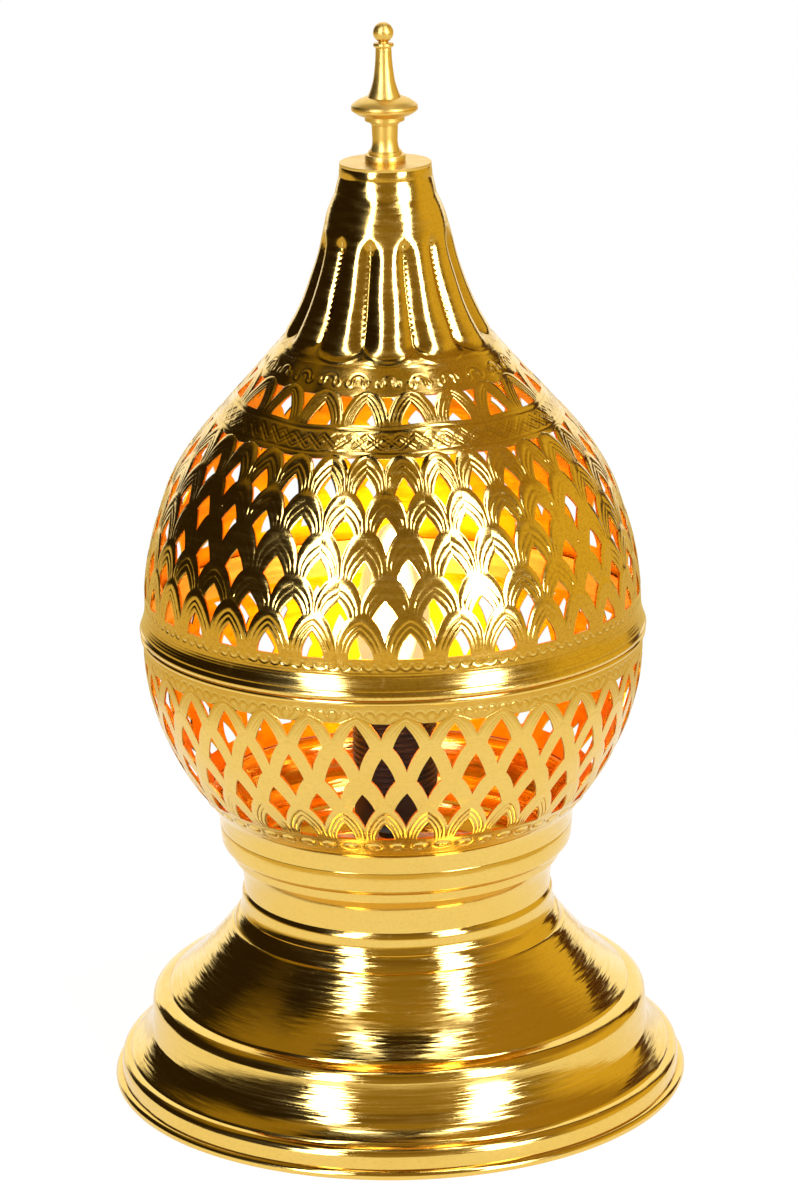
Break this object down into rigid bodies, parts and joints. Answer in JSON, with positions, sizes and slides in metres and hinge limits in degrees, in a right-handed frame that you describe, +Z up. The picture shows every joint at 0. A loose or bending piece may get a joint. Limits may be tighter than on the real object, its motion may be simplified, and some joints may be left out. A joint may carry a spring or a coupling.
{
  "type": "moroccan metal lantern",
  "caption": "Standing pierced brass lantern: a fluted, finialed dome lifts off a pierced bowl on a spun foot, with a screw-in candle lamp inside.",
  "frame": {"origin": "centre of the foot, on the floor", "axes": "+Z up along the lantern's axis, front towards -Y, the cable gland at +Y"},
  "size_m": [0.275, 0.275, 0.5074],
  "materials": {
    "turned_brass": "satin turned",
    "polished_brass": "polished, fine lathe lines",
    "chased_brass": "polished, pierced and chased",
    "sheet_brass": "plain",
    "steel": "zinc plated",
    "black_rubber": "matte",
    "black_plastic": "moulded",
    "white_insert": "glazed",
    "clear_glass": "clear",
    "nickel": "nickel plated",
    "black_glass": "vitrified",
    "filament": "lit phosphor strip"
  },
  "bodies": {
    "lantern": {"lower_bowl": "chased_brass", "spigot_ring": "sheet_brass", "collar": "polished_brass", "neck_sleeve": "polished_brass", "foot": "polished_brass", "cable_gland": "black_rubber", "holder_bridge": "steel", "bridge_screws": "steel", "nipple": "sheet_brass", "nipple_nuts": "sheet_brass", "nipple_washers": "steel", "holder_cap": "black_plastic", "holder_skirt": "black_plastic", "holder_insert": "white_insert", "holder_screw_shell": "sheet_brass", "holder_contact": "sheet_brass", "terminal_screws": "sheet_brass"},
    "dome": {"finial_spire": "turned_brass", "finial_disc": "turned_brass", "finial_column": "turned_brass", "finial_plinth": "turned_brass", "finial_stud": "steel", "finial_nut": "steel", "finial_washer": "steel", "top_cap": "polished_brass", "upper_dome": "chased_brass"},
    "lamp_carrier": {"lamp_contact": "nickel"},
    "lamp": {"lamp_glass": "clear_glass", "lamp_cap_shell": "nickel", "lamp_cap_insulator": "black_glass", "lamp_stem": "clear_glass", "lamp_filaments": "filament", "lamp_lead_wires": "nickel"}
  },
  "joints": [
    {"name": "dome_lift", "type": "slide", "parent": "lantern", "child": "dome", "axis": [0, 0, 1], "range_m": [0, 0.065]},
    {"name": "lamp_travel", "type": "slide", "parent": "lantern", "child": "lamp_carrier", "axis": [0, 0, 1], "range_m": [0, 0.0146]},
    {"name": "lamp_turn", "type": "hinge", "parent": "lamp_carrier", "child": "lamp", "pos_m": [0, 0, 0.18], "axis": [0, 0, 1], "range_deg": [0, 1440]}
  ],
  "couplings": [
    {"joint": "lamp_travel", "follows": "lamp_turn", "m_per_rad": 0.00057757}
  ]
}
